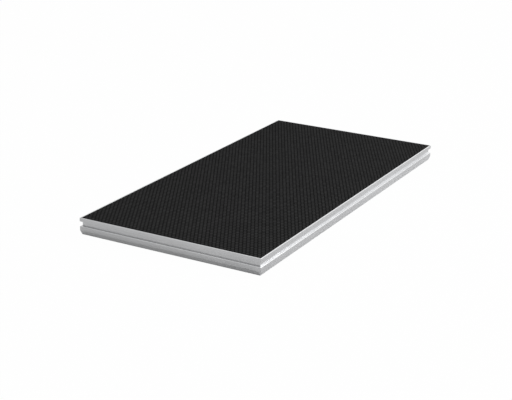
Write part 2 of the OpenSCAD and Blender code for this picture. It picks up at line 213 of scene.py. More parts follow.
longRailFinish = drawnAluminium("drawn aluminium, long rails", railLook)
shortRailFinish = drawnAluminium("drawn aluminium, short rails", shortRailLook)
beamFinish = drawnAluminium("drawn aluminium, beams", beamLook)


# sand-cast aluminium for the leg sockets
castLook = dict(light=(0.62, 0.62, 0.625, 1), dark=(0.50, 0.50, 0.505, 1), edge=(0.70, 0.70, 0.70, 1),
                mottle=28.0, sand=900.0, roughness=(0.45, 0.7), bump=(0.35, 0.0004))


def castAluminium(look):
    finish, tree, shader, spot = newFinish("cast aluminium", metallic=1.0, roughness=0.55)
    sand = putNoise(tree, spot, {"Scale": look["sand"], "Detail": 3.0, "Roughness": 0.7})
    color = rubbedEdges(tree, mottled(tree, spot, look)["Color"], look["edge"])
    finishSurface(tree, shader, look, color, sand, sand)
    return finish


# turned or plated metal for the small parts
zincLook = dict(light=(0.62, 0.63, 0.66, 1), dark=(0.48, 0.49, 0.51, 1), mottle=60.0, grain=2200.0,
                roughness=(0.28, 0.42), bump=(0.08, 0.0001))
clampLook = dict(zincLook, light=(0.55, 0.56, 0.59, 1), dark=(0.40, 0.41, 0.44, 1), mottle=45.0,
                 roughness=(0.3, 0.48))
brassLook = dict(zincLook, light=(0.70, 0.53, 0.25, 1), dark=(0.58, 0.42, 0.17, 1), mottle=80.0,
                 roughness=(0.26, 0.4))


def platedMetal(name, look):
    finish, tree, shader, spot = newFinish(name, metallic=1.0, roughness=look["roughness"][0])
    cloud = mottled(tree, spot, look)
    grain = putNoise(tree, spot, {"Scale": look["grain"], "Detail": 2.0})
    finishSurface(tree, shader, look, cloud["Color"], cloud["Fac"], grain)
    return finish


castFinish = castAluminium(castLook)
zincFinish = platedMetal("zinc-plated steel", zincLook)
clampFinish = platedMetal("clamp steel", clampLook)
brassFinish = platedMetal("turned brass", brassLook)


# black grip film: painted shade, darker in the grooves between the hexagons and lighter on their tops
gripLook = dict(top=(0.0328, 0.0328, 0.0331, 1), groove=(0.008, 0.008, 0.008, 1),
                dust=(0.05, 0.049, 0.047, 1), dustScale=3.5, dustShare=0.03, grain=700.0,
                roughness=(0.62, 0.78), bump=(0.25, 0.0003))


def gripFinishMaterial(look, grooveZ, topZ):
    finish, tree, shader, spot = newFinish("black grip film", 0.0, 0.7, Specular_IOR_Level=0.0)
    height = put(tree, "ShaderNodeSeparateXYZ", {0: spot}).outputs["Z"]
    # painted shade: the colour runs from the dark groove colour on the groove floor to the lighter top
    # colour on the hexagon tops
    level = putRange(tree, height, {"From Min": grooveZ, "From Max": topZ})
    tone = putMix(tree, {"Factor": level, mixA: look["groove"], mixB: look["top"]})
    cell = put(tree, "ShaderNodeAttribute", attribute_name="cellTone").outputs["Color"]
    varied = putMix(tree, {"Factor": 1.0, mixA: tone, mixB: cell}, blend_type="MULTIPLY")
    dust = putNoise(tree, spot, {"Scale": look["dustScale"], "Detail": 7.0, "Roughness": 0.62})
    dustMask = putRange(tree, dust, {"From Min": 0.52, "From Max": 0.85, "To Max": look["dustShare"]})
    dusty = putMix(tree, {"Factor": dustMask, mixA: varied, mixB: look["dust"]})
    grain = putNoise(tree, spot, {"Scale": look["grain"], "Detail": 3.0})
    finishSurface(tree, shader, look, dusty, grain, grain)
    return finish


# smooth brown film under the plywood, plies on its edges
plywoodLook = dict(filmDark=(0.075, 0.038, 0.022, 1), filmLight=(0.13, 0.068, 0.04, 1),
                   woodDark=(0.34, 0.2, 0.1, 1), woodLight=(0.55, 0.38, 0.22, 1), ply=0.0028,
                   stretch=(3.0, 90.0, 3.0), roughness=(0.38, 0.52), bump=(0.06, 0.0003))


def plywoodFinishMaterial(look):
    finish, tree, shader, spot = newFinish("plywood with brown film", 0.0, 0.45, Specular_IOR_Level=0.35)
    drawn = put(tree, "ShaderNodeMapping", {"Vector": spot, "Scale": look["stretch"]}).outputs[0]
    grain = putNoise(tree, drawn, {"Scale": 2.0, "Detail": 6.0, "Distortion": 0.4})
    film = putMix(tree, {"Factor": grain, mixA: look["filmDark"], mixB: look["filmLight"]})
    height = put(tree, "ShaderNodeSeparateXYZ", {0: spot}).outputs["Z"]
    plies = putRange(tree, putMath(tree, "PINGPONG", height, look["ply"]), {"From Max": look["ply"]})
    wood = putMix(tree, {"Factor": plies, mixA: look["woodDark"], mixB: look["woodLight"]})
    facing = put(tree, "ShaderNodeNewGeometry").outputs["Normal"]
    upward = put(tree, "ShaderNodeSeparateXYZ", {0: facing}).outputs["Z"]
    side = putMix(tree, {"Factor": putMath(tree, "ABSOLUTE", upward), mixA: wood, mixB: film})
    finishSurface(tree, shader, look, side, grain, grain)
    return finish


sealLook = dict(light=(0.014, 0.014, 0.014, 1), dark=(0.006, 0.006, 0.006, 1), mottle=90.0,
                roughness=(0.55, 0.7), bump=(0.3, 0.0004))


def sealFinishMaterial(look):
    finish, tree, shader, spot = newFinish("black sealant", 0.0, 0.6, Specular_IOR_Level=0.2)
    cloud = mottled(tree, spot, look)
    finishSurface(tree, shader, look, cloud["Color"], cloud["Fac"], cloud["Fac"])
    return finish


plywoodFinish = plywoodFinishMaterial(plywoodLook)
sealFinish = sealFinishMaterial(sealLook)
print("finishes ready")


def addPiece(name, mesh, body, slotName, *nodeNames):
    piece = bpy.data.objects.new(name, mesh)
    scene.collection.objects.link(piece)
    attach(piece, body)
    if nodeNames:
        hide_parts(*nodeNames)
    return piece


def dress(nodeName, finish):
    mesh = cadNodes[nodeName].data
    mesh.materials.clear()
    mesh.materials.append(finish)


# grip pattern on the deck: hexagon islands on one continuous film
grip = dict(pitch=0.01989, stretch=1.048, groove=0.0044, rise=0.0005, slope=0.0005, weld=0.00002, seed=7,
            toneLow=0.88, toneHigh=1.12)


def hexFilmTree():
    tree, given, result = newGroup("GeometryNodeTree", "hexFilm", [
        ("Length", "NodeSocketFloat", 2.0), ("Width", "NodeSocketFloat", 1.0),
        ("Pitch", "NodeSocketFloat", 0.02), ("Groove", "NodeSocketFloat", 0.004),
        ("Rise", "NodeSocketFloat", 0.0005), ("Slope", "NodeSocketFloat", 0.0005),
        ("Stretch", "NodeSocketFloat", 1.0), ("Seed", "NodeSocketInt", 0),
        ("Tone low", "NodeSocketFloat", 0.9), ("Tone high", "NodeSocketFloat", 1.1),
        ("Finish", "NodeSocketMaterial", None)], [("Geometry", "NodeSocketGeometry")])

    def calc(operation, *values):
        return putMath(tree, operation, *values)

    pitch = given["Pitch"]
    rowStep = calc("MULTIPLY", pitch, math.sqrt(3))  # every second row
    rows = calc("ADD", calc("CEIL", calc("DIVIDE", given["Length"], rowStep)), 2)
    columns = calc("ADD", calc("CEIL", calc("DIVIDE", given["Width"], pitch)), 2)
    points = put(tree, "GeometryNodeMeshGrid", {
        "Size X": calc("MULTIPLY", calc("SUBTRACT", rows, 1), rowStep),
        "Size Y": calc("MULTIPLY", calc("SUBTRACT", columns, 1), pitch),
        "Vertices X": rows, "Vertices Y": columns}).outputs["Mesh"]
    shift = put(tree, "ShaderNodeCombineXYZ", {
        "X": calc("MULTIPLY", rowStep, 0.5), "Y": calc("MULTIPLY", pitch, 0.5)}).outputs[0]
    between = put(tree, "GeometryNodeTransform", {"Geometry": points, "Translation": shift}).outputs[0]
    lattice = put(tree, "GeometryNodeJoinGeometry")
    wire(tree, (points, lattice.inputs[0]), (between, lattice.inputs[0]))

    # one cell: groove floor, sloping wall and flat top
    shape = put(tree, "GeometryNodeMeshCircle", {
        "Vertices": 6, "Radius": calc("DIVIDE", pitch, math.sqrt(3))}, fill_type="NGON").outputs["Mesh"]
    land = calc("SUBTRACT", pitch, given["Groove"])
    top = calc("SUBTRACT", land, calc("MULTIPLY", given["Slope"], 2))
    upward = put(tree, "ShaderNodeCombineXYZ", {"Z": 1.0}).outputs[0]
    topFace = True
    for lift, share in ((0.0, calc("DIVIDE", land, pitch)), (given["Rise"], calc("DIVIDE", top, land))):
        step = put(tree, "GeometryNodeExtrudeMesh", {
            "Mesh": shape, "Selection": topFace, "Offset": upward, "Offset Scale": lift,
            "Individual": False}, mode="FACES").outputs
        topFace = step["Top"]
        shape = put(tree, "GeometryNodeScaleElements", {
            "Geometry": step["Mesh"], "Selection": topFace, "Scale": share}, domain="FACE").outputs[0]

    spread = put(tree, "GeometryNodeInstanceOnPoints", {"Points": lattice.outputs[0], "Instance": shape})
    tone = put(tree, "FunctionNodeRandomValue", {
        2: given["Tone low"], 3: given["Tone high"], "Seed": given["Seed"]}, data_type="FLOAT")
    toned = put(tree, "GeometryNodeStoreNamedAttribute", {
        "Geometry": spread.outputs[0], "Name": "cellTone", "Value": tone.outputs[1]},
        data_type="FLOAT", domain="INSTANCE")
    whole = put(tree, "GeometryNodeRealizeInstances", {0: toned.outputs[0]})
    weld = put(tree, "GeometryNodeMergeByDistance", {0: whole.outputs[0], "Distance": grip["weld"]})
    longer = put(tree, "ShaderNodeCombineXYZ", {"X": given["Stretch"], "Y": 1.0, "Z": 1.0})
    drawn = put(tree, "GeometryNodeTransform", {"Geometry": weld.outputs[0], "Scale": longer.outputs[0]})
    paint = put(tree, "GeometryNodeSetMaterial", {
        "Geometry": drawn.outputs[0], "Material": given["Finish"]})
    wire(tree, (paint.outputs[0], result[0]))
    return tree


# runs a tree on an empty or given mesh and returns what it makes as a plain mesh
def meshFromTree(name, tree, values, startMesh=None):
    carrier = bpy.data.objects.new(name + "Carrier", startMesh or bpy.data.meshes.new(name + "Start"))
    scene.collection.objects.link(carrier)
    modifier = carrier.modifiers.new("nodes", "NODES")
    modifier.node_group = tree
    for item in tree.interface.items_tree:
        if item.item_type == "SOCKET" and item.in_out == "INPUT" and item.name in values:
            modifier[item.identifier] = values[item.name]
    view = bpy.context.evaluated_depsgraph_get()
    made = bpy.data.meshes.new_from_object(carrier.evaluated_get(view), depsgraph=view)
    made.name = name
    carrier.modifiers.remove(modifier)
    bpy.data.objects.remove(carrier)
    return made


def gripFilm():
    grooveZ = filmHigh.z - grip["rise"]
    finish = gripFinishMaterial(gripLook, grooveZ, filmHigh.z)
    size = filmHigh - filmLow
    mesh = meshFromTree("gripFilm", hexFilmTree(), {
        "Length": size.x, "Width": size.y, "Pitch": grip["pitch"], "Groove": grip["groove"],
        "Rise": grip["rise"], "Slope": grip["slope"], "Stretch": grip["stretch"], "Seed": grip["seed"],
        "Tone low": grip["toneLow"], "Tone high": grip["toneHigh"], "Finish": finish})
    bm = bmesh.new()
    bm.from_mesh(mesh)
    bmesh.ops.translate(bm, verts=bm.verts, vec=(0, 0, grooveZ))
    # trim to the panel, then close the sides and the underside
    for axis in (0, 1):
        for edge, sign in ((filmLow, -1), (filmHigh, 1)):
            normal = Vector((0, 0, 0))
            normal[axis] = sign
            bmesh.ops.bisect_plane(bm, geom=bm.verts[:] + bm.edges[:] + bm.faces[:], plane_co=edge,
                                   plane_no=normal, clear_outer=True)
    rim = [e for e in bm.edges if e.is_boundary]
    walls = bmesh.ops.extrude_edge_only(bm, edges=rim)["geom"]
    for vert in (g for g in walls if isinstance(g, bmesh.types.BMVert)):
        vert.co.z = filmLow.z
    bmesh.ops.holes_fill(bm, edges=[e for e in bm.edges if e.is_boundary], sides=0)
    bmesh.ops.recalc_face_normals(bm, faces=bm.faces)
    bm.to_mesh(mesh)
    bm.free()
    addPiece("gripFilm", mesh, "frame", "antislip_film", "antislip_film")
    mesh.calc_loop_triangles()
    print("grip film:", len(mesh.loop_triangles), "triangles")


gripFilm()


# rails, beams, brackets and castings: the solid's own shape with its edges broken
edges = dict(rail=0.0004, beam=0.0005, bracket=0.0006, socket=0.0008, flat=math.radians(0.3),
             sharp=math.radians(14), square=math.radians(60), drilled=0.0012, straight=0.005,
             castTop=0.066, joined=1e-6)


# groups of edges that hang together, so that a tight place holds back its own group only
def edgeRuns(chosen):
    left, runs = dict.fromkeys(chosen), []
    while left:
        run = [left.popitem()[0]]
        for edge in run:
            for other in [o for v in edge.verts for o in v.link_edges]:
                if other in left:
                    del left[other]
                    run.append(other)
        runs.append(run)
    return runs


# a casting has its lower straight edges broken, the others all but the rims of drilled holes
def edgesToBreak(bm, cast):
    bent = [e for e in bm.edges if e.is_manifold and e.calc_face_angle() > edges["sharp"]]
    if cast:
        bent = [e for e in bent if e.is_convex and max(v.co.z for v in e.verts) < edges["castTop"]
                and e.calc_face_angle() > edges["square"] and e.calc_length() > edges["straight"]]
    return [run for run in edgeRuns(bent) if max(e.calc_length() for e in run) > edges["drilled"]]


def softenedCopy(nodeName, finish, slotName, width, segments=2, cast=False):
    bm = bmesh.new()
    bm.from_mesh(cadNodes[nodeName].data)
    bmesh.ops.remove_doubles(bm, verts=bm.verts, dist=edges["joined"])
    # even triangles on the flat faces leave room beside the edges
    flat = [e for e in bm.edges if e.is_manifold and e.calc_face_angle() < edges["flat"]]
    bmesh.ops.beautify_fill(bm, faces=bm.faces[:], edges=flat, method="ANGLE")
    rub = bm.faces.layers.float.new("edgeRub")
    for run in edgesToBreak(bm, cast):
        made = bmesh.ops.bevel(bm, geom=run, offset=width, offset_type="OFFSET", segments=segments,
                               profile=0.5, affect="EDGES", clamp_overlap=True, loop_slide=True)
        for face in made["faces"]:
            face[rub] = 1.0
    if not cast:
        bmesh.ops.dissolve_limit(bm, angle_limit=edges["flat"], verts=bm.verts, edges=bm.edges)
    for face in bm.faces:
        face.smooth = True
    for edge in bm.edges:
        broken = any(face[rub] for face in edge.link_faces)
        edge.smooth = broken or edge.calc_face_angle(0) < edges["sharp"]
    mesh = bpy.data.meshes.new(nodeName + "Soft")
    bm.to_mesh(mesh)
    bm.free()
    mesh.materials.append(finish)
    piece = addPiece(nodeName + "Soft", mesh, "frame", slotName, nodeName)
    normals = piece.modifiers.new("evenNormals", "WEIGHTED_NORMAL")
    normals.keep_sharp = True


for name in ("front_rail", "rear_rail"):
    softenedCopy(name, longRailFinish, "rail_aluminium", edges["rail"])
for name in ("left_rail", "right_rail"):
    softenedCopy(name, shortRailFinish, "rail_aluminium", edges["rail"])
for name in ("left", "centre", "right"):
    softenedCopy("cross_beam_" + name, beamFinish, "beam_aluminium", edges["beam"])
softenedCopy("beam_brackets", beamFinish, "beam_aluminium", edges["bracket"])
print("rails and beams softened")


smoothAngle = math.radians(32)
fullTurn = 2 * math.pi


def shadeByAngle(bm):
    for face in bm.faces:
        face.smooth = True
    for edge in bm.edges:
        edge.smooth = edge.calc_face_angle(0) < smoothAngle


# turned and hexagon parts are stacked rings of points round the Z axis
def ringMesh(name, rings, turns=32, hollow=False):
    bm = bmesh.new()
    angles = [fullTurn * i / turns for i in range(turns)]
    loops = []
    for radius, height in rings:
        loop = []
        for a in angles:
            r = radius(a) if callable(radius) else radius
            z = height(a) if callable(height) else height
            loop.append(bm.verts.new((r * math.cos(a), r * math.sin(a), z)))
        loops.append(loop)
    pairs = list(zip(loops, loops[1:]))
    if hollow:
        pairs.append((loops[-1], loops[0]))
    else:
        bm.faces.new(loops[0][::-1])
        bm.faces.new(loops[-1])
    for lower, upper in pairs:
        for i in range(turns):
            j = (i + 1) % turns
            bm.faces.new((lower[i], lower[j], upper[j], upper[i]))
    bmesh.ops.recalc_face_normals(bm, faces=bm.faces)
    shadeByAngle(bm)
    mesh = bpy.data.meshes.new(name)
    bm.to_mesh(mesh)
    bm.free()
    return mesh


def hexRadius(flats):
    sector = math.pi / 3
    return lambda a: flats / 2 / math.cos((a + sector / 2) % sector - sector / 2)


def hexTop(flats, top, chamferFrom, slope=0.55):
    edge = hexRadius(flats)
    return lambda a: top - max(0.0, edge(a) - chamferFrom) * slope


# rings of a thread from one height to another, with a slightly flat root
def threadRings(outer, pitch, start, end, depth, ringsPerPitch=6, steepness=2.2):
    count = math.ceil((end - start) / pitch * ringsPerPitch)

    def ring(height):
        fade = min(1.0, (height - start) / pitch, (end - height) / (pitch / 2))

        def radius(a):
            phase = (height / pitch - a / fullTurn) % 1.0
            return outer - depth * max(0.0, fade) * min(1.0, steepness * abs(phase - 0.5))
        return radius, height
    return [ring(start + (end - start) * i / count) for i in range(count + 1)]


# points of each separate solid in a grouped node
def solidsIn(nodeName):
    bm = bmesh.new()
    bm.from_mesh(cadNodes[nodeName].data)
    bmesh.ops.remove_doubles(bm, verts=bm.verts, dist=edges["joined"])
    found, done = [], set()
    for start in bm.verts:
        if start in done:
            continue
        done.add(start)
        group, queue = [], [start]
        while queue:
            vert = queue.pop()
            group.append(vert.co.copy())
            for edge in vert.link_edges:
                other = edge.other_vert(vert)
                if other not in done:
                    done.add(other)
                    queue.append(other)
        found.append(group)
    bm.free()
    return found


# where a fastener sits: points on its axis at the wide end's two faces, the way it points, its length
def seatOf(points, axis, wide):
    low = Vector([min(p[i] for p in points) for i in range(3)])
    high = Vector([max(p[i] for p in points) for i in range(3)])
    sides = [i for i in range(3) if i != axis]
    middle = (low + high) / 2
    head = [p[axis] for p in points if max(abs(p[i] - middle[i]) for i in sides) > wide]
    pointsUp = sum(head) / len(head) < middle[axis]
    direction = Vector((0, 0, 0))
    direction[axis] = 1.0 if pointsUp else -1.0
    seat = middle.copy()
    seat[axis] = max(head) if pointsUp else min(head)
    base = middle.copy()
    base[axis] = min(head) if pointsUp else max(head)
    return seat, base, direction, high[axis] - low[axis]


def copiesTree():
    tree, given, result = newGroup("GeometryNodeTree", "fastenerCopies", [
        ("Geometry", "NodeSocketGeometry", None), ("Part", "NodeSocketObject", None),
        ("Finish", "NodeSocketMaterial", None), ("Turn", "NodeSocketFloat", 0.0),
        ("Seed", "NodeSocketInt", 0)], [("Geometry", "NodeSocketGeometry")])
    part = put(tree, "GeometryNodeObjectInfo", {"Object": given["Part"]})
    aim = put(tree, "GeometryNodeInputNamedAttribute", {"Name": "axisTurn"}, data_type="FLOAT_VECTOR")
    toTurn = put(tree, "FunctionNodeEulerToRotation", {0: aim.outputs[0]})
    spread = put(tree, "GeometryNodeInstanceOnPoints", {
        "Points": given["Geometry"], "Instance": part.outputs["Geometry"], "Rotation": toTurn.outputs[0]})
    angle = put(tree, "FunctionNodeRandomValue", {3: given["Turn"], "Seed": given["Seed"]},
                data_type="FLOAT")
    spinAxis = put(tree, "ShaderNodeCombineXYZ", {"Z": angle.outputs[1]})
    spin = put(tree, "FunctionNodeEulerToRotation", {0: spinAxis.outputs[0]})
    turned = put(tree, "GeometryNodeRotateInstances", {
        "Instances": spread.outputs[0], "Rotation": spin.outputs[0]})
    whole = put(tree, "GeometryNodeRealizeInstances", {0: turned.outputs[0]})
    paint = put(tree, "GeometryNodeSetMaterial", {
        "Geometry": whole.outputs[0], "Material": given["Finish"]})
    wire(tree, (paint.outputs[0], result[0]))
    return tree


copies = copiesTree()


# master shapes set on the seats of a grouped node, as one piece
def setFasteners(nodeName, sets, finish, turn=0.0, seed=1):
    bm = bmesh.new()
    for master, seats in sets:
        points = bpy.data.meshes.new(master.name + "Seats")
        points.from_pydata([tuple(seat) for seat, _ in seats], [], [])
        aims = points.attributes.new("axisTurn", "FLOAT_VECTOR", "POINT")
        for entry, (_, direction) in zip(aims.data, seats):
            entry.vector = direction.to_track_quat("Z", "Y").to_euler()
        holder = bpy.data.objects.new(master.name + "Holder", master)
        scene.collection.objects.link(holder)
        values = {"Part": holder, "Finish": finish, "Turn": turn, "Seed": seed}
        bm.from_mesh(meshFromTree(master.name + "Made", copies, values, points))
        bpy.data.objects.remove(holder)
    mesh = bpy.data.meshes.new(nodeName + "Made")
    bm.to_mesh(mesh)
    bm.free()
    mesh.materials.append(finish)
    return addPiece(nodeName + "Made", mesh, "frame", "zinc_steel", nodeName)


bolt = dict(diameter=0.008, pitch=0.00125, depth=0.0006, play=0.00005, threadShown=0.0034, lead=0.0002,
            runOut=0.0005, tipStart=0.00045, tipCut=0.0008, flats=0.013, crownCut=0.0001,
            headHeight=0.0053, headDish=0.0012, washer=0.0004, tee=(0.012, 0.016), teeEdge=0.0007,
            teeRoot=0.0005)
nut = dict(height=0.0068, flange=0.017, edge=0.0003, rim=0.0011, foot=0.0016, boreCut=0.0006,
           collar=0.0019, collarStep=0.0006, collarLean=0.0008, collarTop=0.0014, collarBore=0.0007,
           collarCut=0.0003)
hexEdge = hexRadius(bolt["flats"])
crown = bolt["flats"] / 2 - bolt["crownCut"]


def flangeNut(name, collar=0.0):
    bore, wide = bolt["diameter"] / 2 + bolt["play"], nut["flange"] / 2
    edge, rim, top = nut["edge"], nut["rim"], nut["height"]
    hexEnd = top - collar
    rings = [(bore, 0.0), (wide - edge, 0.0), (wide, edge), (wide, rim - edge), (wide - edge, rim),
             (hexEdge, nut["foot"]), (hexEdge, hexTop(bolt["flats"], hexEnd, crown)), (crown, hexEnd)]
    if collar:  # rolled collar over a locking ring
        rings += [(crown - nut["collarStep"], hexEnd + bolt["crownCut"]),
                  (crown - nut["collarLean"], top - nut["collarStep"]), (crown - nut["collarTop"], top),
                  (bore + nut["collarBore"], top), (bore, top - nut["collarCut"])]
    else:
        rings += [(bore + nut["boreCut"], top), (bore, top - nut["boreCut"])]
    return ringMesh(name, rings, turns=48, hollow=True)


def threadedEnd(length):
    r, start, end = bolt["diameter"] / 2, length - bolt["threadShown"], length - bolt["runOut"]
    rings = [(r, start - bolt["lead"])]
    rings += threadRings(r, bolt["pitch"], start, end, bolt["depth"])
    return rings + [(r - bolt["lead"], length - bolt["tipStart"]), (r - bolt["tipCut"], length)]


def teeBolt(name, length, head, headSize):
    shank = [(bolt["diameter"] / 2, -bolt["teeRoot"])]
    mesh = ringMesh(name, shank + threadedEnd(length - head), turns=24)
    bm = bmesh.new()
    bm.from_mesh(mesh)
    block = bmesh.ops.create_cube(bm, size=1.0)["verts"]
    bmesh.ops.scale(bm, vec=(headSize[0], headSize[1], head), verts=block)
    bmesh.ops.translate(bm, vec=(0, 0, -head / 2), verts=block)
    rim = {e for v in block for e in v.link_edges}
    bmesh.ops.bevel(bm, geom=list(rim), offset=bolt["teeEdge"], segments=2, profile=0.5, affect="EDGES")
    bm.to_mesh(mesh)
    bm.free()
    return mesh


def hexBolt(name, length):
    r, head, washer = bolt["diameter"] / 2, bolt["headHeight"], bolt["washer"]
    hexEnd = hexTop(bolt["flats"], head, crown)
    rings = [(crown - bolt["headDish"], -head), (crown, -head), (hexEdge, lambda a: -hexEnd(a)),
             (hexEdge, -washer), (crown, -washer), (crown, 0.0), (r, 0.0)]
    return ringMesh(name, rings + threadedEnd(length - head), turns=48)


# tip and dome hold shares of a radius, and heights
deckScrew = dict(head=0.0045, headHeight=0.003, shank=0.002, rim=0.0002, slotArm=0.0021, slotWidth=0.00055,
                 slotDepth=0.0017, slotTaper=0.7, tip=((0.1, 0.0), (0.6, 0.0012), (1.0, 0.0028)),
                 dome=((1.0, 0.0008), (0.93, 0.0017), (0.78, 0.0024), (0.6, 0.0028), (0.5, 0.003)))


def crossRadius(a):
    along, across = abs(math.cos(a)) + 1e-6, abs(math.sin(a)) + 1e-6
    arm, width = deckScrew["slotArm"], deckScrew["slotWidth"]
    return max(min(arm / along, width / across), min(arm / across, width / along))


def panScrew(name, length):
    wide, high, shank, rim = (deckScrew[key] for key in ("head", "headHeight", "shank", "rim"))
    bite = length - high
    rings = [(shank * share, height - bite) for share, height in deckScrew["tip"]]
    rings += [(shank, 0.0), (wide - rim, 0.0), (wide, rim)]
    rings += [(wide * share, height) for share, height in deckScrew["dome"]]
    rings += [(crossRadius, high),
              (lambda a: crossRadius(a) * deckScrew["slotTaper"], high - deckScrew["slotDepth"])]
    return ringMesh(name, rings, turns=48)


def spansOf(points):
    return [max(p[i] for p in points) - min(p[i] for p in points) for i in range(3)]


# how far beside a fastener's own radius a point counts as part of its wide end
seatSlack = dict(nut=-0.0004, bolt=0.0015, screw=-0.001)


def fitNuts(nodeName, collar):
    seats = []
    for points in solidsIn(nodeName):
        spans = spansOf(points)
        wide = nut["flange"] / 2 + seatSlack["nut"]
        _, base, direction, _ = seatOf(points, spans.index(min(spans)), wide)
        seats.append((base, direction))
    shape = flangeNut(nodeName + "Shape", collar)
    setFasteners(nodeName, [(shape, seats)], zincFinish, turn=fullTurn, seed=3)


def fitBolts(nodeName, hexHead):
    seats = []
    for points in solidsIn(nodeName):
        spans = spansOf(points)
        axis = spans.index(max(spans))
        seat, base, direction, length = seatOf(points, axis, bolt["diameter"] / 2 + seatSlack["bolt"])
        seats.append((seat, direction))
    if hexHead:
        shape = hexBolt(nodeName + "Shape", length)
    else:
        shape = teeBolt(nodeName + "Shape", length, (seat - base).length, bolt["tee"])
    setFasteners(nodeName, [(shape, seats)], zincFinish)


def fitDeckScrews():
    groups = {}
    for points in solidsIn("deck_screws"):
        _, base, direction, length = seatOf(points, 2, deckScrew["head"] + seatSlack["screw"])
        seat = base + direction * deckScrew["headHeight"]
        groups.setdefault(round(length, 5), []).append((seat, -direction))
    sets = [(panScrew("panScrew%d" % i, length), seats)
            for i, (length, seats) in enumerate(groups.items())]
    setFasteners("deck_screws", sets, zincFinish, turn=fullTurn, seed=5)


for nodeName, collar in (("socket_nuts", 0.0), ("bracket_nuts", 0.0), ("beam_lock_nuts", nut["collar"])):
    fitNuts(nodeName, collar)
for nodeName in ("socket_t_bolts", "bracket_t_bolts", "beam_through_bolts"):
    fitBolts(nodeName, hexHead=nodeName == "beam_through_bolts")
fitDeckScrews()
print("fasteners set")


# leg clamps: a threaded screw with a cross bar, and the pad that it presses on the leg
clamp = dict(shank=0.006, pitch=0.00175, threadDepth=0.00095, threadStart=0.0008, tip=0.004, tipEdge=0.0006,
             shoulder=((0.004, 0.0001), (0.0049, 0.0002)), relief=0.0022, reliefDepth=0.0013,
             reliefRun=0.0008, neckCorner=((0.0, 0.0007), (0.0003, 0.0002), (0.0007, 0.0)), headEdge=0.001,
             headRound=0.3, centreDrill=0.0014, holeFlare=0.0012, holeFlareLength=0.0026, holeEnd=0.001,
             barPlay=0.00002, ballSteps=14, edgeSlack=1.2)
pad = dict(bore=0.0041, boreEdge=0.0003, grooves=(0.0026, 0.0046, 0.0064), groove=0.00025,
           frontEdge=0.0006, rearEdge=0.0004)
tinyRadius = 0.0002  # a ring can't close to a point


# reach along an axis and distance from it, for every point of a node
def turnedPoints(nodeName, origin, along):
    spots = []
    for vert in cadNodes[nodeName].data.vertices:
        offset = vert.co - origin
        reach = offset.dot(along)
        spots.append((reach, (offset - along * reach).length))
    return spots


def reachWhere(spots, radius, slack=0.0001):
    found = [reach for reach, out in spots if abs(out - radius) < slack]
    return min(found), max(found)


def drilled(mesh, cutter):
    target = bpy.data.objects.new(mesh.name + "Blank", mesh)
    tool = bpy.data.objects.new(mesh.name + "Drill", cutter)
    scene.collection.objects.link(target)
    scene.collection.objects.link(tool)
    cut = target.modifiers.new("cut", "BOOLEAN")
    cut.operation = "DIFFERENCE"
    cut.solver = "EXACT"
    cut.object = tool
    view = bpy.context.evaluated_depsgraph_get()
    made = bpy.data.meshes.new_from_object(target.evaluated_get(view), depsgraph=view)
    bpy.data.objects.remove(target)
    bpy.data.objects.remove(tool)
    bm = bmesh.new()
    bm.from_mesh(made)
    shadeByAngle(bm)
    bm.to_mesh(made)
    bm.free()
    return made


def clampScrewMesh(name, spots, barRadius):
    wide = max(out for _, out in spots)
    edge, shank, tip, drill = (clamp[key] for key in ("headEdge", "shank", "tip", "centreDrill"))
    headFront, headRear = reachWhere(spots, wide, edge * clamp["edgeSlack"])
    shankStart, _ = reachWhere(spots, shank)
    tipStart = min(reach for reach, _ in spots)
    neck, neckStart = shank - clamp["reliefDepth"], headFront - clamp["relief"]
    tipEdge, corner = clamp["tipEdge"], edge * clamp["headRound"]
    rings = [(tip - tipEdge, tipStart), (tip, tipStart + tipEdge)]
    rings += [(radius, shankStart + height) for radius, height in clamp["shoulder"]]
    rings += threadRings(shank, clamp["pitch"], shankStart + clamp["threadStart"], neckStart,
                         clamp["threadDepth"])
    rings.append((neck, neckStart + clamp["reliefRun"]))
    rings += [(neck + out, headFront - back) for out, back in clamp["neckCorner"]]
    rings += [(wide - edge, headFront), (wide - corner, headFront + corner), (wide, headFront + edge),
              (wide, headRear - edge), (wide - corner, headRear - corner), (wide - edge, headRear),
              (drill, headRear), (tinyRadius, headRear - drill)]
    hole, end = barRadius + clamp["barPlay"], wide + clamp["holeEnd"]
    flared, flareFrom = hole + clamp["holeFlare"], end - clamp["holeFlareLength"]
    drillRings = [(flared, -end), (hole, -flareFrom), (hole, flareFrom), (flared, end)]
    cutter = ringMesh(name + "Hole", drillRings)
    cutter.transform(Matrix.Rotation(math.pi / 2, 4, "X"))
    return drilled(ringMesh(name, rings, turns=36), cutter)


def crossBarMesh(name, spots):
    ball = max(out for _, out in spots)
    bar = min(spots, key=lambda spot: abs(spot[0]))[1]
    middle = max(reach for reach, _ in spots) - ball
    last, steps = math.pi - math.asin(bar / ball), clamp["ballSteps"]
    turned = [last * i / steps for i in range(steps + 1)]
    end = [(max(tinyRadius, ball * math.sin(a)), -middle - ball * math.cos(a)) for a in turned]
    mesh = ringMesh(name, end + [(radius, -reach) for radius, reach in end[::-1]], turns=32)
    mesh.transform(Matrix.Rotation(math.pi / 2, 4, "X"))
    return mesh, bar


def thrustPadMesh(name, spots):
    wide = max(out for _, out in spots)
    front, rear = min(reach for reach, _ in spots), max(reach for reach, _ in spots)
    bore, groove = pad["bore"], pad["groove"]
    frontEdge, rearEdge, boreEdge = pad["frontEdge"], pad["rearEdge"], pad["boreEdge"]
    floor, _ = reachWhere(spots, bore)
    rings = [(tinyRadius, front)]
    for radius in pad["grooves"]:
        rings += [(radius - groove, front), (radius, front + groove), (radius + groove, front)]
    rings += [(wide - frontEdge, front), (wide, front + frontEdge), (wide, rear - rearEdge),
              (wide - rearEdge, rear), (bore + boreEdge, rear), (bore, rear - boreEdge), (bore, floor),
              (tinyRadius, floor)]
    return ringMesh(name, rings, turns=40)


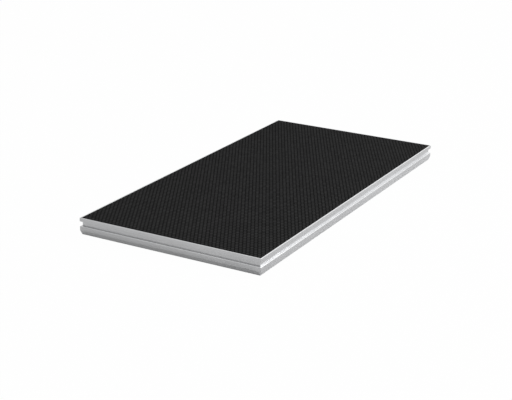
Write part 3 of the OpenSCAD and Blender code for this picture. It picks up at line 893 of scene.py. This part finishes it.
def fitClamp(corner):
    joint = next(j for j in frame["joints"] if j["name"] == "clamp_turn_" + corner)
    origin = Vector(joint["pos_m"])
    along = -Vector(joint["axis"]).normalized()
    down = Vector((0, 0, -1))
    across = along.cross(down)
    place = Matrix.Translation(origin) @ Matrix((down, across, along)).transposed().to_4x4()

    def spots(nodeName, axis):
        return turnedPoints(nodeName + corner, origin, axis)

    bar, barRadius = crossBarMesh("tommyBar_" + corner, spots("tommy_bar_", across))
    screw = clampScrewMesh("clampScrew_" + corner, spots("clamp_screw_", along), barRadius)
    thrust = thrustPadMesh("thrustPad_" + corner, spots("thrust_pad_", along))
    for mesh, finish, body, slotName, nodeName in (
            (bar, clampFinish, "screw_", "clamp_steel", "tommy_bar_"),
            (screw, clampFinish, "screw_", "clamp_steel", "clamp_screw_"),
            (thrust, brassFinish, "pad_", "pad_brass", "thrust_pad_")):
        mesh.transform(place)
        mesh.materials.clear()
        mesh.materials.append(finish)
        addPiece(nodeName + corner + "Made", mesh, body + corner, slotName, nodeName + corner)


for corner in cornerNames:
    softenedCopy("leg_socket_" + corner, castFinish, "cast_aluminium", edges["socket"], 3, cast=True)
    fitClamp(corner)
print("leg sockets and clamps fitted")


# sealant between the panel and the rails, drawn hollow with a finger
bead = dict(sag=0.0004, hollow=((1.0, 0.0), (0.75, 0.75), (0.5, 1.0), (0.25, 0.75), (0.0, 0.0)))


def sealBead():
    low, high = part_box("edge_seal")
    _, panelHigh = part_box("deck_panel")
    width = high.x - panelHigh.x
    profile = [(0.0, low.z), (1.0, low.z)]
    profile += [(share, high.z - bead["sag"] * depth) for share, depth in bead["hollow"]]
    bm = bmesh.new()
    loops = []
    for share, z in profile:
        x, y = panelHigh.x + width * share, panelHigh.y + width * share
        loops.append([bm.verts.new(spot) for spot in ((-x, -y, z), (x, -y, z), (x, y, z), (-x, y, z))])
    for a, b in zip(loops, loops[1:] + loops[:1]):
        for i in range(4):
            j = (i + 1) % 4
            bm.faces.new((a[i], a[j], b[j], b[i]))
    bmesh.ops.recalc_face_normals(bm, faces=bm.faces)
    mesh = bpy.data.meshes.new("sealBead")
    bm.to_mesh(mesh)
    bm.free()
    mesh.materials.append(sealFinish)
    addPiece("sealBead", mesh, "frame", "seal", "edge_seal")


sealBead()
dress("deck_panel", plywoodFinish)
print("panel and seal done")


# pale floor, nearly plain white to the camera, so that its shadow stays faint
floorLook = dict(size=80.0, color=(0.59, 0.59, 0.59, 1), cameraShare=0.985, glossShare=0.08)


# how much plain white a ray sees: nearly all for the camera, a small part in reflections
def whiteShare(tree, look):
    ray = put(tree, "ShaderNodeLightPath").outputs
    seen = putMath(tree, "MULTIPLY", ray["Is Camera Ray"], look["cameraShare"])
    gloss = putMath(tree, "MAXIMUM", ray["Is Glossy Ray"], ray["Is Transmission Ray"])
    return putMath(tree, "MAXIMUM", seen, putMath(tree, "MULTIPLY", gloss, look["glossShare"]))


def floorPlane():
    mesh = bpy.data.meshes.new("studioFloor")
    half = floorLook["size"] / 2
    corners = [(-half, -half, 0), (half, -half, 0), (half, half, 0), (-half, half, 0)]
    mesh.from_pydata(corners, [], [(0, 1, 2, 3)])
    floor = bpy.data.objects.new("studioFloor", mesh)
    scene.collection.objects.link(floor)
    finish = bpy.data.materials.new("studio floor")
    finish.use_nodes = True
    tree = finish.node_tree
    tree.nodes.clear()
    lit = put(tree, "ShaderNodeBsdfDiffuse", {"Color": floorLook["color"]})
    white = put(tree, "ShaderNodeEmission", {"Strength": 1.0})
    mix = put(tree, "ShaderNodeMixShader", {
        "Fac": whiteShare(tree, floorLook), 1: lit.outputs[0], 2: white.outputs[0]})
    put(tree, "ShaderNodeOutputMaterial", {"Surface": mix.outputs[0]})
    finish.cycles.emission_sampling = "NONE"  # the floor's white is no lamp
    mesh.materials.append(finish)


floorPlane()


# soft studio light: surroundings that glow from one side and overhead, and a lamp before the long side
studio = dict(
    cameraShare=1.0, glossShare=0.15, ambient=0.16,
    glow=dict(turn=-5.0, rise=17.0, level=1.18, spread=0.55),
    ceiling=dict(level=0.75, start=0.45, end=0.9),
    lamps=dict(keyLamp=dict(place=(2.4, -5.6, 3.6), aim=(0.0, -0.5, 0), size=4.0, power=265)))


def aimed(place, aim, roll=0.0):
    turn = (Vector(aim) - Vector(place)).to_track_quat("-Z", "Y").to_matrix()
    return Matrix.Translation(place) @ (turn @ Matrix.Rotation(roll, 3, "Z")).to_4x4()


def lightStudio():
    world = bpy.data.worlds.new("studio")
    scene.world = world
    world.use_nodes = True
    tree = world.node_tree
    back = tree.nodes["Background"].inputs
    back["Color"].default_value = (1, 1, 1, 1)
    glow, ceiling, ambient = studio["glow"], studio["ceiling"], studio["ambient"]
    turn, rise = math.radians(glow["turn"]), math.radians(glow["rise"])
    axis = (math.cos(turn) * math.cos(rise), math.sin(turn) * math.cos(rise), math.sin(rise))
    way = put(tree, "ShaderNodeTexCoord").outputs["Generated"]
    near = put(tree, "ShaderNodeVectorMath", {0: way, 1: axis}, operation="DOT_PRODUCT").outputs["Value"]
    reach = putRange(tree, near, {"From Min": glow["spread"], "From Max": 1.0})
    height = put(tree, "ShaderNodeSeparateXYZ", {0: way}).outputs["Z"]
    above = putRange(tree, height, {
        "From Min": ceiling["start"], "From Max": ceiling["end"], "To Min": ambient,
        "To Max": ambient + ceiling["level"]}, interpolation_type="SMOOTHSTEP")
    around = putMath(tree, "ADD", putMath(tree, "MULTIPLY", reach, glow["level"]), above)
    level = put(tree, "ShaderNodeMix", {"Factor": whiteShare(tree, studio), "A": around, "B": 1.0},
                data_type="FLOAT")
    wire(tree, (level.outputs["Result"], back["Strength"]))
    for name, lamp in studio["lamps"].items():
        data = bpy.data.lights.new(name, "AREA")
        data.shape = "SQUARE"
        data.size = lamp["size"]
        data.energy = lamp["power"]
        light = bpy.data.objects.new(name, data)
        light.matrix_world = aimed(lamp["place"], lamp["aim"])
        light.visible_camera = False
        scene.collection.objects.link(light)


lightStudio()
print("studio lit")

# camera where the photograph was taken from
shot = dict(place=(-5.4597, -2.9661, 2.1896), aim=(-0.3372, -0.0992, 0.085), roll=0.7331, lens=87.304,
            sensor=36.0)
cameraData = bpy.data.cameras.new("shot")
cameraData.lens = shot["lens"]
cameraData.sensor_width = shot["sensor"]
cameraData.sensor_fit = "HORIZONTAL"
camera = bpy.data.objects.new("shot", cameraData)
camera.matrix_world = aimed(shot["place"], shot["aim"], math.radians(shot["roll"]))
scene.collection.objects.link(camera)
scene.camera = camera
scene.view_settings.view_transform = "Standard"
